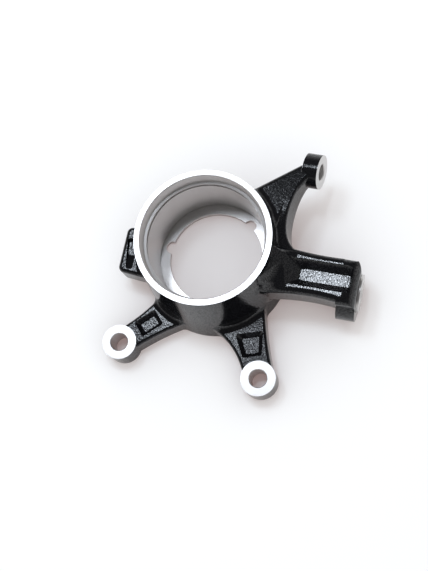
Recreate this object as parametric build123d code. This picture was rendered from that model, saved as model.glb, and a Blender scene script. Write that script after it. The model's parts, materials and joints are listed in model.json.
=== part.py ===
from build123d import *
import os
from math import atan2, cos, degrees, radians, sin, tan

os.makedirs("parts", exist_ok=True)

# Steering knuckle: one forging, machined at the bearing bore, the caliper ears, the ball joint
# boss, the lower lug and the steering eye. Millimetres and degrees.
# Origin: on the wheel axis, halfway along the bearing seat. +Z is the wheel axis, outboard.
# +X is the side of the long ball joint arm, +Y the side of the steering arm.

# ---------- driving dimensions ----------
# The sides of a limb in plan are given as flares: the angles, seen from the side's own start at the
# limb's tip, at which it stands off straight halfway along and at the root. Left and right are seen
# looking from tip to root.

# Bearing bore, from the outboard face inwards
bearing_d = 80.0
bearing_width = 40.0
groove_depth = 1.75
groove_width = 2.65
groove_land = 1.0
mouth_clearance = 1.7
mouth_draft = 0.55
mouth_depth = 9.6
ledge_rise = 0.5
rim_chamfer = 0.5

# Bearing shoulder at the inboard end, with half-round drift notches
shoulder_thickness = 3.2
shoulder_height = 6.75
undercut_depth = 0.5
undercut_width = 1.2
notch_count = 3
notch_d = 9.0
notch_first_angle = 179.0

# Hub wall: a tapered barrel that leans, so that its foot stands off centre towards the ears
rim_wall = 4.05
hub_flare = 8.0
hub_foot_x = 2.5
hub_foot_y = -4.0

# Caliper ears: their bolt line and bosses
ear_spacing = 100.2
ear_centre_x = 4.2
ear_line_y = -76.3
ear_boss_d = 24.0
ear_boss_top = -6.25
ear_boss_thickness = 17.25
ear_hole_d = 12.0
ear_hole_chamfer = 0.5

# Webs between the ears and the hub: the first ear is the one on the -X side
ear_web_step = 2.0
ear_edge_r = 2.0
ear_root_r = 5.0
web_one_root_angle = 249.0
web_one_width = 18.0
web_one_right_flare = (6.3, 10.5)
web_one_left_flare = (-2.2, 3.4)
web_two_root_angle = 310.0
web_two_width = 20.8
web_two_right_flare = (6.9, 10.4)
web_two_left_flare = (2.7, 23.3)

# Pockets in the webs
web_pocket_depth = 4.0
web_pocket_slope = 3.0
web_pocket_length = 10.8
pocket_one_width = 6.2
pocket_one_turn = -4.0
pocket_one_offset = (-3.9, -0.9)
pocket_two_width = 12.0
pocket_two_side_angle = 80.0
pocket_two_turn = 80.0
pocket_two_offset = (-5.8, -1.7)

# Kingpin line: the common axis of the ball joint boss and the lower lug
kingpin_angle = 4.0
kingpin_offset = -11.7
kingpin_z = -4.25

# Long arm
arm_width = 29.9
arm_right_flare = (1.1, 4.8)
arm_left_flare = (-2.1, 3.2)
arm_thickness = 24.5
arm_top = 19.5
arm_side_shift = 1.65
arm_edge_r = 4.0
arm_root_r = 8.0

# Ball joint boss: round below, with a square head
boss_face = 106.0
boss_length = 14.0
boss_r = 19.25
boss_head_width = 31.2
boss_head_shift = 1.0
boss_head_corner = 5.0
boss_plan_corner = 9.0
boss_nose_r = 9.5
boss_pad_d = 26.0
boss_pad_height = 1.5
boss_bore_d = 14.0
boss_bore_chamfer = 1.0

# Channel in the outboard side of the long arm
channel_side_shift = 2.4
channel_length = 33.5
channel_end_land = 7.5
channel_floor_width = 7.8
channel_mouth_width = 18.6
channel_depth = 6.5
channel_run_in = 8.0
channel_end_slope = 2.0

# Lower lug, with a pocket in its outboard side and a tapped hole in its end
lug_reach = 14.7
lug_width = 32.0
lug_flare = 2.0
lug_top = 4.75
lug_thickness = 19.0
lug_side_shift = 2.0
lug_corner_r = 4.0
lug_edge_r = 2.5
lug_root_r = 5.0
lug_thread_d = 8.8
lug_thread_depth = 13.0
lug_thread_chamfer = 1.0
drill_point = 0.6
lug_pocket_depth = 3.0
lug_pocket_length = 8.0
lug_pocket_end_wall = 2.2
lug_pocket_end_slope = 1.0
lug_pocket_ear_side_wall = 2.5
lug_pocket_ear_side_slope = 10.5
lug_pocket_far_side_wall = 8.0
lug_pocket_far_side_slope = 2.0

# Steering arm and its eye
eye_x = 57.0
eye_y = 65.9
eye_z = 15.75
eye_tilt = 8.0
eye_d = 23.2
eye_width = 10.5
eye_hole_d = 11.0
eye_hole_chamfer = 0.6
steer_tip = 2.0
steer_tip_width = 9.6
steer_side_shift = -1.2
steer_right_flare = 15.9
steer_left_flare = (6.8, 15.2)
steer_root_angle = 39.0
steer_top = 25.2
steer_thickness = 18.2
steer_taper = 4.0
steer_edge_r = 3.0
steer_root_r = 5.0

# All cast pockets
pocket_corner_r = 1.0
pocket_mouth_r = 1.5

# ---------- how far blanks and cutters run past what they meet ----------
limb_sink = 7.0
boss_overlap = 1.0
cut_over = 1.0
pocket_overrun = 4.0
hub_overrun = 10.0
forging_margin = 30.0
root_tolerance = 0.01
far = 300.0

# ---------- what follows from them ----------
shoulder_top = -bearing_width / 2
hub_foot = shoulder_top - shoulder_thickness
groove_bottom = bearing_width / 2
groove_top = groove_bottom + groove_width
ledge_bottom = groove_top + groove_land
ledge_top = ledge_bottom + ledge_rise
hub_face = ledge_top + mouth_depth
bearing_r = bearing_d / 2
mouth_floor_r = bearing_r + mouth_clearance
mouth_r = mouth_floor_r + mouth_draft
shoulder_r = bearing_r - shoulder_height
hub_rim_r = mouth_r + rim_wall
hub_foot_r = hub_rim_r + hub_flare / 2
sunk_r = hub_rim_r - limb_sink
web_top = ear_boss_top - ear_web_step
ear_boss_bottom = ear_boss_top - ear_boss_thickness
ear_x = [ear_centre_x - ear_spacing / 2, ear_centre_x + ear_spacing / 2]
boss_back = boss_face - boss_length
lug_face = hub_rim_r + lug_reach

kingpin_frame = Rot(Z=kingpin_angle) * Pos(0, kingpin_offset, 0)
eye_frame = Pos(eye_x, eye_y, eye_z) * Rot(Y=90 - eye_tilt)


def hub_blank():
    """Leaning cone, longer than the hub at both ends and trimmed level at the hub face."""
    lean = Vector(hub_foot_x, hub_foot_y, hub_foot - hub_face)
    grow = (hub_foot_r - hub_rim_r) / lean.length
    cone = Plane(origin=(0, 0, hub_face), z_dir=lean) * Pos(0, 0, -hub_overrun) * Cone(
        hub_rim_r - grow * hub_overrun, hub_foot_r + grow * forging_margin,
        lean.length + hub_overrun + forging_margin, align=(Align.CENTER, Align.CENTER, Align.MIN))
    return cone - Pos(0, 0, hub_face) * Box(far, far, far, align=(Align.CENTER, Align.CENTER, Align.MIN))


def join(body, limb, radius):
    """The body with one more limb on it, and the fillet that runs round the limb's root."""
    def at_root(edge):
        middle = edge @ 0.5
        return max(body.distance_to(middle), limb.distance_to(middle)) < root_tolerance

    joined = body + limb
    return fillet(joined.edges().filter_by(at_root), radius)


def flank(start, length, half_width, flare, side):
    """One side of a limb in plan, along X: an arc with the two flares. side is 1 for left, -1 for right."""
    def place(run, angle):
        return start + run, side * (half_width + run * tan(radians(angle)))

    run = length - start
    return ThreePointArc(place(0, 0), place(run / 2, flare[0]), place(run, flare[1]))


def between(one, other):
    """The flat face between two curves that run the same way."""
    return make_face([one, Line(one @ 1, other @ 1), other, Line(other @ 0, one @ 0)])


def bar(plan, top, bottom, taper, edge_r):
    """Limb along X with the plan outline, its bottom falling by the taper, its long edges rounded."""
    reach = plan.bounding_box().max.X
    side = Polygon((0, bottom), (reach, bottom - taper), (reach, top), (0, top), align=None)
    block = extrude(plan, far, both=True) & extrude(Plane.XZ * side, far, both=True)
    long_edges = block.edges().filter_by(lambda edge: edge.bounding_box().size.X > reach / 2)
    return fillet(long_edges, edge_r)


def towards_hub(x, y, angle):
    """Frame at a limb's tip whose X runs level to the sunk point on the hub at the angle, and its length."""
    run = Vector(sunk_r * cos(radians(angle)), sunk_r * sin(radians(angle))) - Vector(x, y)
    return Pos(x, y) * Rot(Z=degrees(atan2(run.Y, run.X))), run.length


def ear_web(x, root_angle, width, right_flare, left_flare):
    frame, length = towards_hub(x, ear_line_y, root_angle)
    plan = between(
        flank(0, length, width / 2, right_flare, -1), flank(0, length, width / 2, left_flare, 1))
    return frame * bar(plan, web_top, hub_foot - forging_margin / 2, 0, ear_edge_r)


def long_arm():
    length = boss_back + boss_overlap - sunk_r
    frame = kingpin_frame * Pos(boss_back + boss_overlap, arm_side_shift) * Rot(Z=180)
    plan = between(
        flank(0, length, arm_width / 2, arm_right_flare, -1),
        flank(0, length, arm_width / 2, arm_left_flare, 1))
    return frame * bar(plan, arm_top, arm_top - arm_thickness, 0, arm_edge_r)


def steering_arm():
    frame, length = towards_hub(eye_x, eye_y, steer_root_angle)
    half = steer_tip_width / 2
    right = Line((steer_tip, -half), (length, -half - (length - steer_tip) * tan(radians(steer_right_flare))))
    plan = between(right, flank(steer_tip, length, half, steer_left_flare, 1))
    bottom = steer_top - steer_thickness
    return frame * Pos(0, steer_side_shift) * bar(plan, steer_top, bottom, steer_taper, steer_edge_r)


def lower_lug():
    half = lug_width / 2
    outline = Polygon(
        (-lug_face, -half), (-sunk_r, -half - lug_flare), (-sunk_r, half + lug_flare), (-lug_face, half),
        align=None)
    outline = fillet(outline.vertices().sort_by(Axis.X)[:2], lug_corner_r)
    block = extrude(Pos(0, lug_side_shift, lug_top - lug_thickness) * outline, lug_thickness)
    level = block.edges().filter_by(lambda edge: abs((edge % 0.5).Z) < root_tolerance)
    return kingpin_frame * fillet(level - level.group_by(Axis.X)[-1], lug_edge_r)


def ear_boss(x):
    outline = Pos(x, ear_line_y, ear_boss_bottom) * Circle(ear_boss_d / 2)
    return extrude(outline, ear_boss_thickness)


def ball_joint_boss():
    """Half round below, square above, with a rounded nose and a round pad on its outer face."""
    cast_length = boss_length - boss_pad_height
    head_height = arm_top - kingpin_z
    head = Pos(boss_head_shift, kingpin_z + head_height / 2 - boss_head_corner / 2) * RectangleRounded(
        boss_head_width, head_height + boss_head_corner, boss_head_corner)
    end_view = Plane.YZ * (Pos(0, kingpin_z) * Circle(boss_r) + head)
    side_height = head_height + boss_r
    side_view = Plane.XZ * Pos(cast_length / 2, arm_top - side_height / 2) * Rectangle(
        cast_length, side_height)
    nose = side_view.vertices().group_by(Axis.X)[-1].sort_by(Axis.Z)[-1]
    side_view = fillet(nose, boss_nose_r)
    plan = Pos(cast_length / 2, 0) * Rectangle(cast_length, 2 * boss_r)
    corner = plan.vertices().group_by(Axis.X)[-1].sort_by(Axis.Y)[-1]
    plan = fillet(corner, boss_plan_corner)
    block = extrude(end_view, cast_length) & extrude(side_view, far, both=True)
    block &= extrude(plan, far, both=True)
    pad = Pos(boss_length, 0, kingpin_z) * Rot(Y=-90) * Cylinder(
        boss_pad_d / 2, boss_length / 2, align=(Align.CENTER, Align.CENTER, Align.MIN))
    return kingpin_frame * Pos(boss_back) * (block + pad)


def steering_eye():
    return eye_frame * Cylinder(eye_d / 2, eye_width)


def pocket(floor, mouth, top, depth):
    """Cast pocket: tapers from the mouth outline at the level top down to the floor outline."""
    floor = fillet(floor.vertices(), pocket_corner_r)
    mouth = fillet(mouth.vertices(), pocket_mouth_r)
    mouth = Pos(0, 0, top) * mouth
    return loft([Pos(0, 0, top - depth) * floor, mouth], ruled=True) + extrude(
        mouth, pocket_overrun, dir=(0, 0, 1))


def web_pocket_frame(x, root_angle, offset, turn):
    """On the web's centre line, by the offset from halfway between the ear boss and the hub wall."""
    frame, length = towards_hub(x, ear_line_y, root_angle)
    middle = (ear_boss_d / 2 + length - limb_sink) / 2
    return frame * Pos(middle + offset[0], offset[1]) * Rot(Z=turn)


def web_pocket_one():
    length, width, grow = web_pocket_length, pocket_one_width, 2 * web_pocket_slope
    return web_pocket_frame(ear_x[0], web_one_root_angle, pocket_one_offset, pocket_one_turn) * pocket(
        Rectangle(length, width), Rectangle(length + grow, width + grow), web_top, web_pocket_depth)


def web_pocket_two():
    """The wider pocket: a trapezoid whose broad side is towards the hub."""
    length, width, grow = web_pocket_length, pocket_two_width, 2 * web_pocket_slope
    side_angle = pocket_two_side_angle
    mouth_width = width + grow / tan(radians(side_angle / 2))
    return web_pocket_frame(ear_x[1], web_two_root_angle, pocket_two_offset, pocket_two_turn) * pocket(
        Trapezoid(width, length, side_angle), Trapezoid(mouth_width, length + grow, side_angle),
        web_top, web_pocket_depth)


def arm_channel():
    mouth_length = channel_run_in + channel_length + channel_end_slope
    floor_end = boss_face - channel_end_land
    mouth_end = floor_end + channel_end_slope
    floor = Pos(floor_end - channel_length / 2) * Rectangle(channel_length, channel_floor_width)
    mouth = Pos(mouth_end - mouth_length / 2) * Rectangle(mouth_length, channel_mouth_width)
    return kingpin_frame * Pos(0, channel_side_shift) * pocket(floor, mouth, arm_top, channel_depth)


def lug_pocket():
    """Slants away from the lug's end face, with a long slope on the side towards the ears."""
    end = lug_pocket_end_wall - lug_face
    hub_end, slope = end + lug_pocket_length, lug_pocket_end_slope
    mouth_ear_side = lug_side_shift - lug_width / 2 + lug_pocket_ear_side_wall
    mouth_far_side = lug_side_shift + lug_width / 2 - lug_pocket_far_side_wall
    floor_ear_side = mouth_ear_side + lug_pocket_ear_side_slope
    floor_far_side = mouth_far_side - lug_pocket_far_side_slope
    floor = Polygon(
        (end + slope, floor_far_side), (hub_end - slope, floor_far_side),
        (hub_end - slope, floor_ear_side), (end + 2 * slope, floor_ear_side), align=None)
    mouth = Polygon(
        (end, mouth_far_side), (hub_end, mouth_far_side),
        (hub_end, mouth_ear_side), (end + 3 * slope, mouth_ear_side), align=None)
    return kingpin_frame * pocket(floor, mouth, lug_top, lug_pocket_depth)


def forging():
    body = join(hub_blank(), long_arm(), arm_root_r)
    body = join(body, lower_lug(), lug_root_r)
    body = join(body, steering_arm(), steer_root_r)
    for web in (
            ear_web(ear_x[0], web_one_root_angle, web_one_width, web_one_right_flare, web_one_left_flare),
            ear_web(ear_x[1], web_two_root_angle, web_two_width, web_two_right_flare, web_two_left_flare)):
        body = join(body, web, ear_root_r)
    body -= Pos(0, 0, hub_foot) * Box(far, far, far, align=(Align.CENTER, Align.CENTER, Align.MAX))
    for lump in (ball_joint_boss(), steering_eye(), ear_boss(ear_x[0]), ear_boss(ear_x[1])):
        body += lump
    for hollow in (arm_channel(), lug_pocket(), web_pocket_one(), web_pocket_two()):
        body -= hollow
    return body


def bearing_bore():
    """Everything turned from the outboard side: mouth, ledge, groove, seat, undercut, shoulder."""
    undercut_r, undercut_top = bearing_r + undercut_depth, shoulder_top + undercut_width
    groove_r = bearing_r + groove_depth
    outline = Polygon(
        (0, hub_foot - cut_over), (shoulder_r, hub_foot - cut_over), (shoulder_r, shoulder_top),
        (undercut_r, shoulder_top), (undercut_r, undercut_top), (bearing_r, undercut_top),
        (bearing_r, groove_bottom), (groove_r, groove_bottom), (groove_r, groove_top),
        (bearing_r, groove_top), (bearing_r, ledge_bottom), (mouth_floor_r, ledge_top),
        (mouth_r, hub_face - rim_chamfer), (mouth_r + rim_chamfer + cut_over, hub_face + cut_over),
        (0, hub_face + cut_over), align=None)
    return revolve(Plane.XZ * outline, Axis.Z)


def drift_notch(angle):
    height = shoulder_thickness + cut_over
    cutter = Cylinder(notch_d / 2, height, align=(Align.CENTER, Align.CENTER, Align.MIN))
    return Rot(Z=angle) * Pos(shoulder_r, 0, shoulder_top - height) * cutter


def hole_tool(diameter, length, chamfer):
    """Round hole along Z, centred, with a chamfered mouth at both ends."""
    r, half = diameter / 2, length / 2
    wide, high = r + chamfer + cut_over, half + cut_over
    outline = Polygon(
        (0, -high), (wide, -high), (r, -half + chamfer), (r, half - chamfer), (wide, high), (0, high),
        align=None)
    return revolve(Plane.XZ * outline, Axis.Z)


def ear_hole(x):
    middle = ear_boss_top - ear_boss_thickness / 2
    return Pos(x, ear_line_y, middle) * hole_tool(ear_hole_d, ear_boss_thickness, ear_hole_chamfer)


def steering_eye_hole():
    return eye_frame * hole_tool(eye_hole_d, eye_width, eye_hole_chamfer)


def ball_joint_hole():
    middle = Pos(boss_face - boss_length / 2, 0, kingpin_z) * Rot(Y=90)
    return kingpin_frame * middle * hole_tool(boss_bore_d, boss_length, boss_bore_chamfer)


def lug_hole():
    """Blind tapping hole in the lug's end face, with a drill point."""
    r, c, deep = lug_thread_d / 2, lug_thread_chamfer, lug_thread_depth
    outline = Polygon(
        (0, -cut_over), (r + c + cut_over, -cut_over), (r, c), (r, deep), (0, deep + r * drill_point),
        align=None)
    return kingpin_frame * Pos(-lug_face, 0, kingpin_z) * Rot(Y=90) * revolve(Plane.XZ * outline, Axis.Z)


knuckle = forging() - bearing_bore()
for n in range(notch_count):
    knuckle -= drift_notch(notch_first_angle + 360 * n / notch_count)
for x in ear_x:
    knuckle -= ear_hole(x)
for hole in (steering_eye_hole(), ball_joint_hole(), lug_hole()):
    knuckle -= hole
export_step(knuckle, "parts/knuckle.step")
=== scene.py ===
import json
from math import cos, hypot, pi, radians, sin, sqrt

import bpy
from mathutils import Matrix, Vector


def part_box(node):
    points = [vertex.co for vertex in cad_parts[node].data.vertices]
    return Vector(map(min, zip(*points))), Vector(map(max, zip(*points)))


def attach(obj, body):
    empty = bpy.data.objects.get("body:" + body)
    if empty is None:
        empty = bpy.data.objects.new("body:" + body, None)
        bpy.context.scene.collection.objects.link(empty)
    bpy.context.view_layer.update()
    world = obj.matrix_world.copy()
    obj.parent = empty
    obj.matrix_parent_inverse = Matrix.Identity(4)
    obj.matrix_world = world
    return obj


# A steering knuckle: black paint over a forging, bare metal where it is machined.

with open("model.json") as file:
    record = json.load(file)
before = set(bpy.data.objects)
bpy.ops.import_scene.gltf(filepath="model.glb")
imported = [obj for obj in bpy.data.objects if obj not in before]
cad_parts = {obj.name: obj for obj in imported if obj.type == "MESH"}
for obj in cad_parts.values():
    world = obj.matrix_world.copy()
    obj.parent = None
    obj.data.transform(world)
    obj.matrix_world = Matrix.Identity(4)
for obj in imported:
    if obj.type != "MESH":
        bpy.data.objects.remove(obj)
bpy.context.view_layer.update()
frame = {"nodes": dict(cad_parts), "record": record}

MM = 0.001
mounts = {mount["name"]: mount for mount in frame["record"]["mounts"]}
knuckle = frame["nodes"]["knuckle"]
floor_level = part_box("knuckle")[0].z


def add_object(name, data):
    thing = bpy.data.objects.new(name, data)
    bpy.context.scene.collection.objects.link(thing)
    return thing


# ---------- camera ----------

CAMERA_PLACE = Vector((0.1683, -0.1570, 0.6487))
CAMERA_FORWARD = Vector((-0.2339, 0.1963, -0.9522))
CAMERA_RIGHT = Vector((0.9446, 0.2777, -0.1748))
CAMERA_LENS_MM = 63.05


def make_camera():
    camera = add_object("camera", bpy.data.cameras.new("camera"))
    camera.data.lens = CAMERA_LENS_MM
    forward = CAMERA_FORWARD.normalized()
    right = (CAMERA_RIGHT - CAMERA_RIGHT.dot(forward) * forward).normalized()
    up = right.cross(forward)
    turn = Matrix((right, up, -forward)).transposed().to_4x4()
    camera.matrix_world = Matrix.Translation(CAMERA_PLACE) @ turn
    bpy.context.scene.camera = camera


# ---------- shader helpers: each takes sockets or plain values and gives back a socket ----------

# By kind of value: the Mix node's input for its first value, and its output.
MIX_SOCKETS = {"FLOAT": (2, 0), "VECTOR": (4, 1), "RGBA": (6, 2)}


def feed(tree, value, socket):
    """Links a socket, or sets a plain value."""
    if isinstance(value, bpy.types.NodeSocket):
        tree.links.new(value, socket)
    else:
        socket.default_value = value


def calc(tree, operation, *values):
    node = tree.nodes.new("ShaderNodeMath")
    node.operation = operation
    for value, socket in zip(values, node.inputs):
        feed(tree, value, socket)
    return node.outputs[0]


def vector_calc(tree, operation, *values):
    node = tree.nodes.new("ShaderNodeVectorMath")
    node.operation = operation
    for value, socket in zip(values, node.inputs):
        feed(tree, value, socket)
    return node.outputs["Value" if operation in ("DOT_PRODUCT", "LENGTH") else "Vector"]


def spread(tree, value):
    """A vector that has the value on all three axes."""
    node = tree.nodes.new("ShaderNodeCombineXYZ")
    for socket in node.inputs:
        feed(tree, value, socket)
    return node.outputs[0]


def above(tree, value, limit):
    return calc(tree, "GREATER_THAN", value, limit)


def below(tree, value, limit):
    return calc(tree, "LESS_THAN", value, limit)


def all_of(tree, first, *others):
    for other in others:
        first = calc(tree, "MINIMUM", first, other)
    return first


def any_of(tree, first, *others):
    for other in others:
        first = calc(tree, "MAXIMUM", first, other)
    return first


def mix(tree, share, one, other, kind="FLOAT"):
    node = tree.nodes.new("ShaderNodeMix")
    node.data_type = kind
    first_input, output = MIX_SOCKETS[kind]
    feed(tree, share, node.inputs[0])
    feed(tree, one, node.inputs[first_input])
    feed(tree, other, node.inputs[first_input + 1])
    return node.outputs[output]


def noise(tree, place, size, detail):
    node = tree.nodes.new("ShaderNodeTexNoise")
    feed(tree, place, node.inputs["Vector"])
    node.inputs["Scale"].default_value = 1 / size
    node.inputs["Detail"].default_value = detail
    return node.outputs[0]


def bump(tree, height, depth_mm):
    node = tree.nodes.new("ShaderNodeBump")
    node.inputs["Distance"].default_value = depth_mm * MM
    feed(tree, height, node.inputs["Height"])
    return node.outputs[0]


# ---------- where the knuckle is machined: 1 there, 0 on the black skin ----------

# The margin by which a mask takes in a machined face, or leaves out a cast one.
SKIN = 0.06
# How far the metal reaches: radii, heights and broken edges that the mounts don't give.
SHOULDER_MM = 3.2
RIM_BREAK_MM = 2.9
EAR_BOSS_MM = 12.0
EAR_HEIGHT_MM = 17.25
EYE_BARREL_MM = 11.6
EYE_WIDTH_MM = 10.5
HOLE_BREAK_MM = 0.8
JOINT_PAD_MM = 13.0
JOINT_LENGTH_MM = 14.0
JOINT_PAD_HEIGHT_MM = 1.5
TAPPING_BREAK_MM = 1.1
# In lengths of the lug's thread, from its mouth.
TAPPING_REACH = 2


def along_and_away(tree, place, mount):
    """How far a place lies along a mount's axis from its centre, and how far away from the axis, in mm."""
    axis = Vector(mount["axis"]).normalized()
    offset = vector_calc(tree, "SUBTRACT", place, Vector(mount["pos_m"]) / MM)
    along = vector_calc(tree, "DOT_PRODUCT", offset, axis)
    foot = vector_calc(tree, "SUBTRACT", offset, vector_calc(tree, "MULTIPLY", spread(tree, along), axis))
    return along, vector_calc(tree, "LENGTH", foot)


def machined_bearing_seat(tree, place):
    """The bore, its groove and shoulder, and the face round its mouth."""
    along, away = along_and_away(tree, place, mounts["bearing_bore"])
    seat = mounts["bearing_bore"]["dims"]
    inside = below(tree, away, seat["r_mm"] + RIM_BREAK_MM)
    foot = -(seat["length_mm"] / 2 + SHOULDER_MM)
    face = mounts["hub_face"]["pos_m"][2] / MM
    return any_of(
        tree, all_of(tree, inside, above(tree, along, foot + SKIN)), above(tree, along, face - SKIN))


def machined_ears(tree, place):
    """Both faces and the hole of each caliper ear."""
    pattern = mounts["caliper_holes"]
    centre = Vector(pattern["pos_m"])
    masks = []
    for side in (-1, 1):
        aside = side * pattern["dims"]["spacing_x_mm"] / 2 * MM
        hole = dict(pattern, pos_m=centre + Vector((aside, 0, 0)))
        along, away = along_and_away(tree, place, hole)
        end = any_of(tree, above(tree, along, -SKIN), below(tree, along, SKIN - EAR_HEIGHT_MM))
        masks.append(all_of(tree, end, below(tree, away, EAR_BOSS_MM + SKIN)))
        masks.append(below(tree, away, pattern["dims"]["hole_r_mm"] + HOLE_BREAK_MM))
    return any_of(tree, *masks)


def machined_eye(tree, place):
    """Both faces and the hole of the tie rod's eye."""
    eye = mounts["tie_rod_eye"]
    along, away = along_and_away(tree, place, eye)
    from_end = calc(tree, "SUBTRACT", calc(tree, "ABSOLUTE", along), EYE_WIDTH_MM / 2)
    end = below(tree, calc(tree, "ABSOLUTE", from_end), SKIN)
    face = all_of(tree, end, below(tree, away, EYE_BARREL_MM + SKIN))
    hole = all_of(tree, below(tree, from_end, SKIN), below(tree, away, eye["dims"]["r_mm"] + HOLE_BREAK_MM))
    return any_of(tree, face, hole)


def machined_joint_boss(tree, place):
    """The pad on the end of the ball joint's boss, and its bore."""
    joint = mounts["ball_joint_bore"]
    along, away = along_and_away(tree, place, joint)
    pad = all_of(
        tree, above(tree, along, JOINT_LENGTH_MM / 2 - JOINT_PAD_HEIGHT_MM + SKIN),
        below(tree, away, JOINT_PAD_MM + SKIN))
    bore = all_of(
        tree, above(tree, along, -JOINT_LENGTH_MM / 2 - SKIN),
        below(tree, away, joint["dims"]["r_mm"] + HOLE_BREAK_MM))
    return any_of(tree, pad, bore)


def machined_lug_hole(tree, place):
    """The tapping hole in the lug, down past its drill point."""
    thread = mounts["lug_thread"]
    along, away = along_and_away(tree, place, thread)
    deep = above(tree, along, -thread["dims"]["length_mm"] * TAPPING_REACH)
    return all_of(tree, deep, below(tree, away, thread["dims"]["r_mm"] + TAPPING_BREAK_MM))


# ---------- the knuckle's one material: black paint over the forging, bare metal where machined ----------

PAINT_BLACK = (0.006, 0.006, 0.007, 1)
PAINT_ROUGHNESS = 0.13
PAINT_SHEEN = (0.17, 0.64)
PAINT_DETAIL = 1.0
SPECK_MM = 0.75
SPECK_EDGE = (0.44, 0.56)
GRAIN_MM = 1.3
GRAIN_DEPTH_MM = 0.06
METAL_GREY = (0.62, 0.6, 0.59, 1)
METALLIC = 0.8
METAL_ROUGHNESS = 0.3
METAL_SHEEN = 0.5
METAL_STREAK = 0.5
TURNED_PITCH_MM = 0.35
TURNED_DEPTH_MM = 0.004
TURNED_RINGS = 0.3
TURNED_WEAR_MM = 1.3
TURNED_WEAR_DETAIL = 4.0


def turned_marks(tree, place):
    """Fine rings left by the tool round the wheel axis: stripes along the axis and outwards."""
    along, away = along_and_away(tree, place, mounts["bearing_bore"])
    travel = calc(tree, "ADD", along, away)
    rings = calc(tree, "SINE", calc(tree, "MULTIPLY", travel, 2 * pi / TURNED_PITCH_MM))
    wear = noise(tree, spread(tree, travel), TURNED_WEAR_MM, TURNED_WEAR_DETAIL)
    return calc(tree, "ADD", calc(tree, "MULTIPLY", rings, TURNED_RINGS), wear)


def across_turning(tree, coordinates):
    """The direction in the surface that crosses the tool's rings, in which a highlight is drawn out."""
    round_axis = vector_calc(tree, "CROSS_PRODUCT", (0, 0, 1), coordinates)
    normal = tree.nodes.new("ShaderNodeNewGeometry").outputs["Normal"]
    return vector_calc(tree, "NORMALIZE", vector_calc(tree, "CROSS_PRODUCT", normal, round_axis))


def paint_sheen(tree, place):
    """Bright specks and dull pits where the paint lies over the cast skin."""
    specks = tree.nodes.new("ShaderNodeMapRange")
    feed(tree, noise(tree, place, SPECK_MM, PAINT_DETAIL), specks.inputs["Value"])
    specks.inputs["From Min"].default_value, specks.inputs["From Max"].default_value = SPECK_EDGE
    specks.inputs["To Min"].default_value, specks.inputs["To Max"].default_value = PAINT_SHEEN
    return specks.outputs["Result"]


def knuckle_material():
    material = bpy.data.materials.new("knuckle")
    material.use_nodes = True
    tree = material.node_tree
    shader = tree.nodes["Principled BSDF"]
    coordinates = tree.nodes.new("ShaderNodeTexCoord").outputs["Object"]
    place = vector_calc(tree, "DIVIDE", coordinates, (MM, MM, MM))
    metal = any_of(
        tree, machined_bearing_seat(tree, place), machined_ears(tree, place), machined_eye(tree, place),
        machined_joint_boss(tree, place), machined_lug_hole(tree, place))
    grain = bump(tree, noise(tree, place, GRAIN_MM, PAINT_DETAIL), GRAIN_DEPTH_MM)
    marks = bump(tree, turned_marks(tree, place), TURNED_DEPTH_MM)
    looks = {
        "Base Color": mix(tree, metal, PAINT_BLACK, METAL_GREY, "RGBA"),
        "Metallic": calc(tree, "MULTIPLY", metal, METALLIC),
        "Roughness": mix(tree, metal, PAINT_ROUGHNESS, METAL_ROUGHNESS),
        "Specular IOR Level": mix(tree, metal, paint_sheen(tree, place), METAL_SHEEN),
        "Normal": mix(tree, metal, grain, marks, "VECTOR"),
        "Anisotropic": calc(tree, "MULTIPLY", metal, METAL_STREAK),
        "Tangent": across_turning(tree, coordinates),
    }
    for name, value in looks.items():
        feed(tree, value, shader.inputs[name])
    return material


# ---------- soft blends of the forging that the CAD solid leaves out, in mm ----------

# The hub's outside at its rim and at the level of the web, and how high the neck climbs on it.
RIM_R = 46.35
WALL_R = 47.25
RIM_LEVEL = 33.4
# Keeps a new face out of the plane of a CAD face.
APART = 0.03
# In degrees: faces that meet at more than this show an edge.
SHARP_ANGLE = 40

# The long arm, in a frame turned with the kingpin's axis: x runs out along the arm from the hub.
KINGPIN_ANGLE = 4.0
KINGPIN_OFFSET = -11.7
ARM_TOP = 19.5
ARM_SHIFT = 1.65
ARM_HALF = 14.95
ARM_EDGE_R = 4.0
ARM_TIP = 93.0
# By side, 1 towards the steering arm: the half width at the tip, then its growth with the square of
# the run from the tip and with the run.
ARM_FLANKS = {1: (ARM_HALF, 0.00239, -0.0453), -1: (ARM_HALF, 0.00343, -0.1293)}

# The neck starts inside the hub's wall, climbs it in its run, and fades out towards the arm's edges.
NECK_RUN = 17.0
NECK_R = 18.8
NECK_START_R = 45.0
NECK_END = 70.0
NECK_FADE = (0.6, 0.97)
NECK_SHELL = 1.0
NECK_STATIONS = 66
NECK_SIDE_STEPS = 36
# The neck's border sinks into the arm over the last of its width and of its length.
NECK_SINK = 0.4
NECK_SINK_FROM = 0.9
NECK_SINK_RUN = 4.0

# The arm's channel, which cuts the neck: its end and sides rise from a flat floor.
CHANNEL_SHIFT = 2.4
CHANNEL_START = 65.5
CHANNEL_FLOOR = 13.0
CHANNEL_FLOOR_HALF = 3.6
CHANNEL_END_RISE = 0.8125
CHANNEL_SIDE_RISE = 1.204

# The steering arm: its eye, the direction from there to the hub, where its flank starts, its level top
# and the flank on the corner's side, written as the long arm's are.
STEERING_EYE = Vector((57.0, 65.9))
STEERING_RUN = Vector((-0.5407, -0.8412))
STEERING_TIP = 2.0
STEERING_TOP = 25.2
STEERING_EDGE_R = 3.0
STEERING_FLANK = (3.6, 0.00649, -0.0330)

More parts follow.
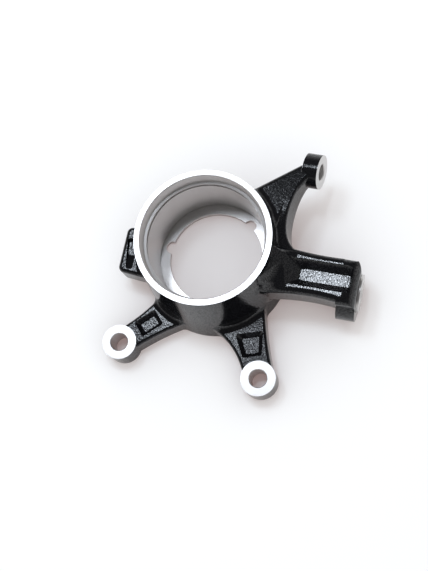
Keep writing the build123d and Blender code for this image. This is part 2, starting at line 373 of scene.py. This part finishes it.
# The web in the corner of the two arms: the poles of its edge in plan, its rounding, and its root on
# the hub's wall.
CORNER = [Vector(pole) for pole in ((53.5, 54.0), (50.0, 42.0), (44.5, 11.0), (65.0, 9.0))]
CORNER_EDGE_R = 2.0
CORNER_EDGE_STEPS = 6
CORNER_DRAFT = 1.0
CORNER_ROOT_R = 4.0
CORNER_STATIONS = 60
CORNER_TOP_STEPS = 24
CORNER_NUDGE = 0.01
# Its levels, from the steering arm's end to the long arm's, and where along the edge they change.
CORNER_SINK = 1.0
CORNER_TOP = (STEERING_TOP, ARM_TOP - CORNER_SINK)
CORNER_TOP_FALL = (0.3, 1.0)
CORNER_BOTTOM = (6.5, -4.0)
CORNER_BOTTOM_FALL = (0.1, 0.7)
# It is followed inwards by steps until the CAD's own top covers it by a margin, and tucks in there.
REACH_STEP = 0.25
REACH_LIMIT = 20.0
ARM_COVER = 0.4
RIM_COVER = 0.3
TUCK_IN = 0.5
TUCK_DOWN = 1.5


def ease(value, start, end):
    """0 before start, 1 after end, and a smooth turn between them."""
    share = min(1, max(0, (value - start) / (end - start)))
    return share * share * (3 - 2 * share)


def between(ends, share):
    return ends[0] + (ends[1] - ends[0]) * share


def rounding(depth, radius):
    """How far a rounded edge has dropped at a depth past its start."""
    depth = min(radius, max(0, depth))
    return radius - sqrt(radius * radius - depth * depth)


def bezier(poles, t):
    while len(poles) > 1:
        poles = [a.lerp(b, t) for a, b in zip(poles, poles[1:])]
    return poles[0]


def flank(run, half, bow, lead):
    """How far an arm's side lies from its middle line at a run from the arm's tip."""
    return half + bow * run * run + lead * run


def arm_half(x, side):
    """Half the long arm's width at x; side is 1 towards the steering arm."""
    return flank(ARM_TIP - x, *ARM_FLANKS[side])


def turned(x, y, degrees):
    angle = radians(degrees)
    return x * cos(angle) - y * sin(angle), x * sin(angle) + y * cos(angle)


def kingpin_to_world(x, y):
    return turned(x, y + KINGPIN_OFFSET, KINGPIN_ANGLE)


def world_to_kingpin(x, y):
    x, y = turned(x, y, -KINGPIN_ANGLE)
    return x, y - KINGPIN_OFFSET


def loft(name, loops):
    """A closed piece through rings of points in mm, which rides on the knuckle's body."""
    count = len(loops[0])
    points = [Vector(point) * MM for loop in loops for point in loop]
    faces = [
        (i * count + j, i * count + (j + 1) % count, (i + 1) * count + (j + 1) % count, (i + 1) * count + j)
        for i in range(len(loops) - 1) for j in range(count)]
    faces += [tuple(reversed(range(count))), tuple(range((len(loops) - 1) * count, len(loops) * count))]
    mesh = bpy.data.meshes.new(name)
    mesh.from_pydata(points, [], faces)
    mesh.polygons.foreach_set("use_smooth", [True] * len(faces))
    mesh.set_sharp_from_angle(angle=radians(SHARP_ANGLE))
    piece = add_object(name, mesh)
    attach(piece, "root")
    return piece


def neck_level(x, y, share):
    """Height of the neck over a place in the kingpin frame; share is how far out it is on the arm's top."""
    away = hypot(*kingpin_to_world(x, y)) - RIM_R
    climb = (RIM_LEVEL - ARM_TOP) * rounding(NECK_RUN - max(0, away), NECK_R) / rounding(NECK_RUN, NECK_R)
    climb *= 1 - ease(share, *NECK_FADE)
    half = arm_half(x, 1 if y > ARM_SHIFT else -1)
    level = ARM_TOP + climb - rounding(share * half - (half - ARM_EDGE_R), ARM_EDGE_R)
    channel = max(
        CHANNEL_FLOOR, CHANNEL_FLOOR + (CHANNEL_START - x) * CHANNEL_END_RISE,
        CHANNEL_FLOOR + (abs(y - CHANNEL_SHIFT) - CHANNEL_FLOOR_HALF) * CHANNEL_SIDE_RISE)
    border = max(ease(share, NECK_SINK_FROM, NECK_FADE[1]), ease(x, NECK_END - NECK_SINK_RUN, NECK_END))
    return min(level, channel) - APART - NECK_SINK * border


def arm_neck():
    """The saddle between the hub's wall and the top of the long arm, cut by the arm's channel."""
    loops = []
    for station in range(NECK_STATIONS + 1):
        top = []
        for step in range(-NECK_SIDE_STEPS, NECK_SIDE_STEPS + 1):
            side = 1 if step > 0 else -1
            share = abs(step) / NECK_SIDE_STEPS * NECK_FADE[1]
            aside = ARM_SHIFT + side * share * ARM_HALF + KINGPIN_OFFSET
            start = sqrt(NECK_START_R * NECK_START_R - aside * aside)
            x = between((start, NECK_END), station / NECK_STATIONS)
            y = ARM_SHIFT + side * share * arm_half(x, side)
            top.append((*kingpin_to_world(x, y), neck_level(x, y, share)))
        loops.append(top + [(east, north, z - NECK_SHELL) for east, north, z in reversed(top)])
    return loft("arm_neck", loops)


def inside_cad(place):
    """True where the CAD solid's own level top covers a place in plan."""
    from_eye = place - STEERING_EYE
    run = from_eye.dot(STEERING_RUN) - STEERING_TIP
    aside = from_eye.dot(Vector((-STEERING_RUN.y, STEERING_RUN.x)))
    x, y = world_to_kingpin(place.x, place.y)
    on_steering = aside < flank(run, *STEERING_FLANK) - STEERING_EDGE_R - ARM_COVER
    on_arm = y < ARM_SHIFT + arm_half(x, 1) - ARM_EDGE_R - ARM_COVER
    return on_steering or on_arm or place.length < RIM_R - RIM_COVER


def corner_section(edge, inward, top, bottom):
    """The web's outline in the upright plane through a point of its edge: how far inwards, how high."""
    depth = CORNER_DRAFT + CORNER_EDGE_R
    while not inside_cad(edge + inward * depth) and depth < REACH_LIMIT:
        depth += REACH_STEP
    outline = [(0, bottom)]
    for step in range(CORNER_EDGE_STEPS + 1):
        angle = pi / 2 * step / CORNER_EDGE_STEPS
        outline.append((
            CORNER_DRAFT + CORNER_EDGE_R * (1 - cos(angle)), top - CORNER_EDGE_R * (1 - sin(angle))))
    level_start = outline[-1][0]
    for step in range(1, CORNER_TOP_STEPS + 1):
        along = between((level_start, depth), step / CORNER_TOP_STEPS)
        in_root = WALL_R + CORNER_ROOT_R - (edge + inward * along).length
        outline.append((along, top + rounding(in_root, CORNER_ROOT_R)))
    return outline + [(depth + TUCK_IN, top - TUCK_DOWN), (depth + TUCK_IN, bottom)]


def corner_web():
    """The forging's web in the corner between the steering arm and the long arm."""
    loops = []
    for station in range(CORNER_STATIONS + 1):
        t = station / CORNER_STATIONS
        edge = bezier(CORNER, t)
        run = bezier(CORNER, min(1, t + CORNER_NUDGE)) - bezier(CORNER, max(0, t - CORNER_NUDGE))
        inward = Vector((run.y, -run.x)).normalized()
        top = between(CORNER_TOP, ease(t, *CORNER_TOP_FALL)) + APART
        bottom = between(CORNER_BOTTOM, ease(t, *CORNER_BOTTOM_FALL))
        section = corner_section(edge, inward, top, bottom)
        loops.append([(*(edge + inward * along), z) for along, z in section])
    return loft("corner_web", loops)


# ---------- floor, world and lamps ----------

FLOOR_HALF = 3.0
FLOOR_WHITE = (0.85, 0.92, 0.93, 1)
FLOOR_GLOW = (1.0, 0.4, 0.32, 1)
FLOOR_GLOW_STRENGTH = 0.12
# The sky's brightness to the camera, overhead in mirrored rays and overhead as a light, and the
# heights of direction, 0 level and 1 upright, between which it turns to what it is overhead.
SKY_SEEN = 1.0
SKY_MIRRORED = 0.06
SKY_STRENGTH = 0.95
SKY_LEVEL_BELOW = 0.0
SKY_OVERHEAD_ABOVE = 0.5
SOFTBOX_HEIGHT = 1.0
SOFTBOX_COLOUR = (0.84, 0.91, 1.0)
# Two opposite corners of each lamp in plan, in metres, and its radiance.
SOFTBOXES = {
    "softbox_arm": {"low": (-0.095, 0.160), "high": (-0.005, 0.290), "radiance": 31.0},
    "softbox_web": {"low": (-0.220, 0.070), "high": (-0.130, 0.110), "radiance": 16.0},
    "softbox_hub": {"low": (-0.400, 0.085), "high": (-0.225, 0.355), "radiance": 13.0},
}


def floor_material():
    """White, with a warm glow that shows in its shadows: the camera and mirrored rays see it alone."""
    material = bpy.data.materials.new("floor_white")
    material.use_nodes = True
    tree = material.node_tree
    shader = tree.nodes["Principled BSDF"]
    shader.inputs["Base Color"].default_value = FLOOR_WHITE
    shader.inputs["Roughness"].default_value = 1.0
    shader.inputs["Specular IOR Level"].default_value = 0.0
    shader.inputs["Emission Color"].default_value = FLOOR_GLOW
    rays = tree.nodes.new("ShaderNodeLightPath").outputs
    seen = any_of(tree, rays["Is Camera Ray"], rays["Is Glossy Ray"])
    feed(tree, calc(tree, "MULTIPLY", seen, FLOOR_GLOW_STRENGTH), shader.inputs["Emission Strength"])
    return material


def make_floor():
    """A floor at the level that the knuckle stands on."""
    corners = [
        (x * FLOOR_HALF, y * FLOOR_HALF, floor_level) for x, y in ((-1, -1), (1, -1), (1, 1), (-1, 1))]
    mesh = bpy.data.meshes.new("floor")
    mesh.from_pydata(corners, [], [(0, 1, 2, 3)])
    mesh.materials.append(floor_material())
    floor = add_object("floor", mesh)


def make_world():
    """A sky that lights from overhead; the camera sees it white, and so do mirrored rays at the horizon."""
    world = bpy.data.worlds.new("studio")
    bpy.context.scene.world = world
    world.use_nodes = True
    tree = world.node_tree
    direction = tree.nodes.new("ShaderNodeTexCoord").outputs["Generated"]
    rays = tree.nodes.new("ShaderNodeLightPath").outputs
    sky = tree.nodes.new("ShaderNodeMapRange")
    feed(tree, vector_calc(tree, "DOT_PRODUCT", direction, (0, 0, 1)), sky.inputs["Value"])
    sky.inputs["From Min"].default_value = SKY_LEVEL_BELOW
    sky.inputs["From Max"].default_value = SKY_OVERHEAD_ABOVE
    feed(tree, rays["Is Glossy Ray"], sky.inputs["To Min"])
    feed(tree, mix(tree, rays["Is Glossy Ray"], SKY_STRENGTH, SKY_MIRRORED), sky.inputs["To Max"])
    strength = mix(tree, rays["Is Camera Ray"], sky.outputs["Result"], SKY_SEEN)
    background = tree.nodes["Background"]
    background.inputs["Color"].default_value = (1, 1, 1, 1)
    feed(tree, strength, background.inputs["Strength"])


def make_softbox(name, low, high, radiance):
    """A rectangular lamp overhead, which the level faces mirror towards the camera."""
    wide, deep = high[0] - low[0], high[1] - low[1]
    lamp = add_object(name, bpy.data.lights.new(name, "AREA"))
    lamp.data.shape = "RECTANGLE"
    lamp.data.size = wide
    lamp.data.size_y = deep
    lamp.data.energy = radiance * pi * wide * deep
    lamp.data.color = SOFTBOX_COLOUR
    lamp.location = (low[0] + wide / 2, low[1] + deep / 2, SOFTBOX_HEIGHT)


make_camera()
material = knuckle_material()
for slot in knuckle.material_slots:
    slot.material = material
for piece in (arm_neck(), corner_web()):
    piece.data.materials.append(material)
make_floor()
make_world()
for name, softbox in SOFTBOXES.items():
    make_softbox(name, **softbox)

bpy.context.scene.view_settings.view_transform = "Standard"
